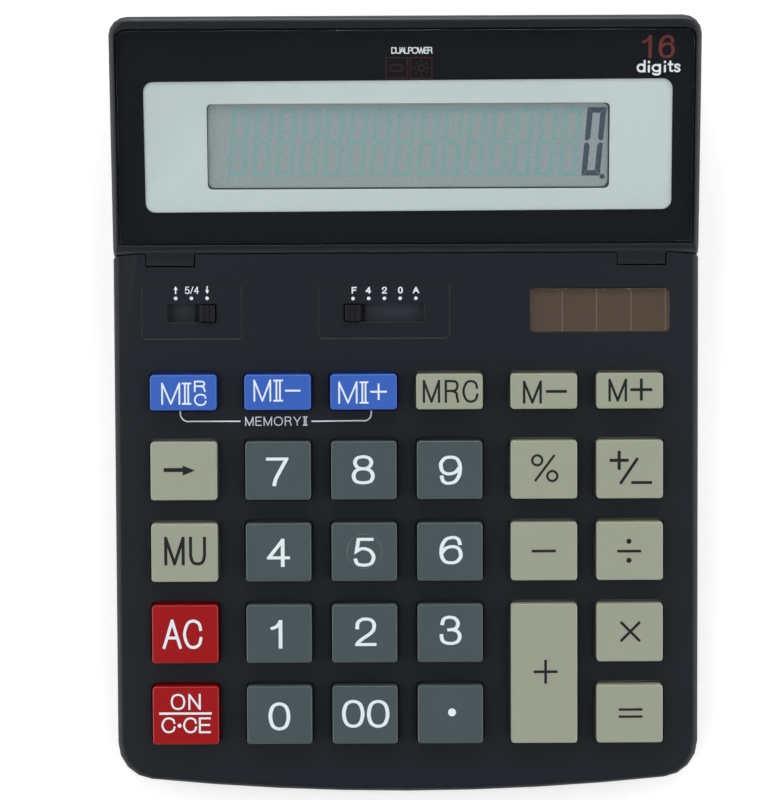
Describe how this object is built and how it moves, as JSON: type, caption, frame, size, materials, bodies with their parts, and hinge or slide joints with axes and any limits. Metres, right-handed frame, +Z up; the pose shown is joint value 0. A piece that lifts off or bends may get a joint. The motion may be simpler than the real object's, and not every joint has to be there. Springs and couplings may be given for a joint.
{
  "type": "desktop calculator",
  "caption": "Desktop calculator with a sloped body, push keys, two slide switches, a solar window and a wide display head that tilts up on a hinge.",
  "frame": {"origin": "on the desk, under the middle of the outline seen from above", "axes": "+X to the user's right, +Y from the user towards the display, +Z up"},
  "size_m": [0.1556, 0.206, 0.0365],
  "materials": {
    "black_plastic": "satin black moulded plastic",
    "grey_key_plastic": "satin dark grey key plastic",
    "beige_key_plastic": "satin grey-beige key plastic",
    "blue_key_plastic": "satin blue key plastic",
    "red_key_plastic": "satin red key plastic",
    "clear_lens": "clear glossy plastic, printed black and pale behind",
    "mask_plastic": "pale grey-green plastic",
    "lcd_glass": "grey-green liquid-crystal glass",
    "solar_glass": "dark brown solar cell glass",
    "rubber_foot": "dark rubber",
    "rubber_mat": "dark grey silicone rubber",
    "board": "green circuit board laminate",
    "ribbon": "amber plastic film",
    "steel": "bright steel",
    "cell_can": "jacketed battery can"
  },
  "bodies": {
    "body": {"top_cover": "black_plastic", "rear_deck": "black_plastic", "bottom_cover": "black_plastic", "main_board": "board", "rubber_keypad": "rubber_mat", "solar_cell": "solar_glass", "solar_window": "clear_lens", "display_ribbon": "ribbon", "battery_cell": "cell_can", "battery_contact_positive": "steel", "battery_contact_negative": "steel", "hinge_pin_left": "steel", "hinge_pin_right": "steel", "foot_front_left": "rubber_foot", "foot_rear_left": "rubber_foot", "foot_front_right": "rubber_foot", "foot_rear_right": "rubber_foot", "body_screw_front_left": "steel", "body_screw_front_right": "steel", "body_screw_rear_left": "steel", "body_screw_rear_right": "steel"},
    "display": {"display_frame": "black_plastic", "display_back_cover": "black_plastic", "display_lens": "clear_lens", "lcd_mask": "mask_plastic", "lcd_panel": "lcd_glass", "display_screw_left": "steel", "display_screw_right": "steel"},
    "rounding_switch": {"rounding_switch_knob": "black_plastic"},
    "decimal_switch": {"decimal_switch_knob": "black_plastic"},
    "battery_door": {"battery_door": "black_plastic"},
    "key_memory2_recall": {"key_memory2_recall": "blue_key_plastic"},
    "key_memory2_minus": {"key_memory2_minus": "blue_key_plastic"},
    "key_memory2_plus": {"key_memory2_plus": "blue_key_plastic"},
    "key_memory_recall": {"key_memory_recall": "beige_key_plastic"},
    "key_memory_minus": {"key_memory_minus": "beige_key_plastic"},
    "key_memory_plus": {"key_memory_plus": "beige_key_plastic"},
    "key_backspace": {"key_backspace": "beige_key_plastic"},
    "key_7": {"key_7": "grey_key_plastic"},
    "key_8": {"key_8": "grey_key_plastic"},
    "key_9": {"key_9": "grey_key_plastic"},
    "key_percent": {"key_percent": "beige_key_plastic"},
    "key_sign": {"key_sign": "beige_key_plastic"},
    "key_markup": {"key_markup": "beige_key_plastic"},
    "key_4": {"key_4": "grey_key_plastic"},
    "key_5": {"key_5": "grey_key_plastic"},
    "key_6": {"key_6": "grey_key_plastic"},
    "key_minus": {"key_minus": "beige_key_plastic"},
    "key_divide": {"key_divide": "beige_key_plastic"},
    "key_all_clear": {"key_all_clear": "red_key_plastic"},
    "key_1": {"key_1": "grey_key_plastic"},
    "key_2": {"key_2": "grey_key_plastic"},
    "key_3": {"key_3": "grey_key_plastic"},
    "key_plus": {"key_plus": "beige_key_plastic"},
    "key_multiply": {"key_multiply": "beige_key_plastic"},
    "key_on_clear": {"key_on_clear": "red_key_plastic"},
    "key_0": {"key_0": "grey_key_plastic"},
    "key_00": {"key_00": "grey_key_plastic"},
    "key_point": {"key_point": "grey_key_plastic"},
    "key_equals": {"key_equals": "beige_key_plastic"}
  },
  "joints": [
    {"name": "display_tilt", "type": "hinge", "parent": "body", "child": "display", "pos_m": [0, 0.04419, 0.01909], "axis": [1, 0, 0], "range_deg": [0, 50], "deforming": ["display_ribbon"]},
    {"name": "rounding_switch_slide", "type": "slide", "parent": "body", "child": "rounding_switch", "axis": [-1, 0, 0], "range_m": [0, 0.00836]},
    {"name": "decimal_switch_slide", "type": "slide", "parent": "body", "child": "decimal_switch", "axis": [1, 0, 0], "range_m": [0, 0.01672]},
    {"name": "battery_door_slide", "type": "slide", "parent": "body", "child": "battery_door", "axis": [0, 1, 0], "range_m": [0, 0.03]},
    {"name": "key_memory2_recall_press", "type": "slide", "parent": "body", "child": "key_memory2_recall", "axis": [0, -0.0663, 0.9978], "range_m": [-0.0015, 0], "stiffness_N_per_m": 400, "springref_m": 0.00025, "deforming": ["rubber_keypad"]},
    {"name": "key_memory2_minus_press", "type": "slide", "parent": "body", "child": "key_memory2_minus", "axis": [0, -0.0663, 0.9978], "range_m": [-0.0015, 0], "stiffness_N_per_m": 400, "springref_m": 0.00025, "deforming": ["rubber_keypad"]},
    {"name": "key_memory2_plus_press", "type": "slide", "parent": "body", "child": "key_memory2_plus", "axis": [0, -0.0663, 0.9978], "range_m": [-0.0015, 0], "stiffness_N_per_m": 400, "springref_m": 0.00025, "deforming": ["rubber_keypad"]},
    {"name": "key_memory_recall_press", "type": "slide", "parent": "body", "child": "key_memory_recall", "axis": [0, -0.0663, 0.9978], "range_m": [-0.0015, 0], "stiffness_N_per_m": 400, "springref_m": 0.00025, "deforming": ["rubber_keypad"]},
    {"name": "key_memory_minus_press", "type": "slide", "parent": "body", "child": "key_memory_minus", "axis": [0, -0.0663, 0.9978], "range_m": [-0.0015, 0], "stiffness_N_per_m": 400, "springref_m": 0.00025, "deforming": ["rubber_keypad"]},
    {"name": "key_memory_plus_press", "type": "slide", "parent": "body", "child": "key_memory_plus", "axis": [0, -0.0663, 0.9978], "range_m": [-0.0015, 0], "stiffness_N_per_m": 400, "springref_m": 0.00025, "deforming": ["rubber_keypad"]},
    {"name": "key_backspace_press", "type": "slide", "parent": "body", "child": "key_backspace", "axis": [0, -0.0663, 0.9978], "range_m": [-0.0015, 0], "stiffness_N_per_m": 400, "springref_m": 0.00025, "deforming": ["rubber_keypad"]},
    {"name": "key_7_press", "type": "slide", "parent": "body", "child": "key_7", "axis": [0, -0.0663, 0.9978], "range_m": [-0.0015, 0], "stiffness_N_per_m": 400, "springref_m": 0.00025, "deforming": ["rubber_keypad"]},
    {"name": "key_8_press", "type": "slide", "parent": "body", "child": "key_8", "axis": [0, -0.0663, 0.9978], "range_m": [-0.0015, 0], "stiffness_N_per_m": 400, "springref_m": 0.00025, "deforming": ["rubber_keypad"]},
    {"name": "key_9_press", "type": "slide", "parent": "body", "child": "key_9", "axis": [0, -0.0663, 0.9978], "range_m": [-0.0015, 0], "stiffness_N_per_m": 400, "springref_m": 0.00025, "deforming": ["rubber_keypad"]},
    {"name": "key_percent_press", "type": "slide", "parent": "body", "child": "key_percent", "axis": [0, -0.0663, 0.9978], "range_m": [-0.0015, 0], "stiffness_N_per_m": 400, "springref_m": 0.00025, "deforming": ["rubber_keypad"]},
    {"name": "key_sign_press", "type": "slide", "parent": "body", "child": "key_sign", "axis": [0, -0.0663, 0.9978], "range_m": [-0.0015, 0], "stiffness_N_per_m": 400, "springref_m": 0.00025, "deforming": ["rubber_keypad"]},
    {"name": "key_markup_press", "type": "slide", "parent": "body", "child": "key_markup", "axis": [0, -0.0663, 0.9978], "range_m": [-0.0015, 0], "stiffness_N_per_m": 400, "springref_m": 0.00025, "deforming": ["rubber_keypad"]},
    {"name": "key_4_press", "type": "slide", "parent": "body", "child": "key_4", "axis": [0, -0.0663, 0.9978], "range_m": [-0.0015, 0], "stiffness_N_per_m": 400, "springref_m": 0.00025, "deforming": ["rubber_keypad"]},
    {"name": "key_5_press", "type": "slide", "parent": "body", "child": "key_5", "axis": [0, -0.0663, 0.9978], "range_m": [-0.0015, 0], "stiffness_N_per_m": 400, "springref_m": 0.00025, "deforming": ["rubber_keypad"]},
    {"name": "key_6_press", "type": "slide", "parent": "body", "child": "key_6", "axis": [0, -0.0663, 0.9978], "range_m": [-0.0015, 0], "stiffness_N_per_m": 400, "springref_m": 0.00025, "deforming": ["rubber_keypad"]},
    {"name": "key_minus_press", "type": "slide", "parent": "body", "child": "key_minus", "axis": [0, -0.0663, 0.9978], "range_m": [-0.0015, 0], "stiffness_N_per_m": 400, "springref_m": 0.00025, "deforming": ["rubber_keypad"]},
    {"name": "key_divide_press", "type": "slide", "parent": "body", "child": "key_divide", "axis": [0, -0.0663, 0.9978], "range_m": [-0.0015, 0], "stiffness_N_per_m": 400, "springref_m": 0.00025, "deforming": ["rubber_keypad"]},
    {"name": "key_all_clear_press", "type": "slide", "parent": "body", "child": "key_all_clear", "axis": [0, -0.0663, 0.9978], "range_m": [-0.0015, 0], "stiffness_N_per_m": 400, "springref_m": 0.00025, "deforming": ["rubber_keypad"]},
    {"name": "key_1_press", "type": "slide", "parent": "body", "child": "key_1", "axis": [0, -0.0663, 0.9978], "range_m": [-0.0015, 0], "stiffness_N_per_m": 400, "springref_m": 0.00025, "deforming": ["rubber_keypad"]},
    {"name": "key_2_press", "type": "slide", "parent": "body", "child": "key_2", "axis": [0, -0.0663, 0.9978], "range_m": [-0.0015, 0], "stiffness_N_per_m": 400, "springref_m": 0.00025, "deforming": ["rubber_keypad"]},
    {"name": "key_3_press", "type": "slide", "parent": "body", "child": "key_3", "axis": [0, -0.0663, 0.9978], "range_m": [-0.0015, 0], "stiffness_N_per_m": 400, "springref_m": 0.00025, "deforming": ["rubber_keypad"]},
    {"name": "key_plus_press", "type": "slide", "parent": "body", "child": "key_plus", "axis": [0, -0.0663, 0.9978], "range_m": [-0.0015, 0], "stiffness_N_per_m": 400, "springref_m": 0.00025, "deforming": ["rubber_keypad"]},
    {"name": "key_multiply_press", "type": "slide", "parent": "body", "child": "key_multiply", "axis": [0, -0.0663, 0.9978], "range_m": [-0.0015, 0], "stiffness_N_per_m": 400, "springref_m": 0.00025, "deforming": ["rubber_keypad"]},
    {"name": "key_on_clear_press", "type": "slide", "parent": "body", "child": "key_on_clear", "axis": [0, -0.0663, 0.9978], "range_m": [-0.0015, 0], "stiffness_N_per_m": 400, "springref_m": 0.00025, "deforming": ["rubber_keypad"]},
    {"name": "key_0_press", "type": "slide", "parent": "body", "child": "key_0", "axis": [0, -0.0663, 0.9978], "range_m": [-0.0015, 0], "stiffness_N_per_m": 400, "springref_m": 0.00025, "deforming": ["rubber_keypad"]},
    {"name": "key_00_press", "type": "slide", "parent": "body", "child": "key_00", "axis": [0, -0.0663, 0.9978], "range_m": [-0.0015, 0], "stiffness_N_per_m": 400, "springref_m": 0.00025, "deforming": ["rubber_keypad"]},
    {"name": "key_point_press", "type": "slide", "parent": "body", "child": "key_point", "axis": [0, -0.0663, 0.9978], "range_m": [-0.0015, 0], "stiffness_N_per_m": 400, "springref_m": 0.00025, "deforming": ["rubber_keypad"]},
    {"name": "key_equals_press", "type": "slide", "parent": "body", "child": "key_equals", "axis": [0, -0.0663, 0.9978], "range_m": [-0.0015, 0], "stiffness_N_per_m": 400, "springref_m": 0.00025, "deforming": ["rubber_keypad"]}
  ]
}
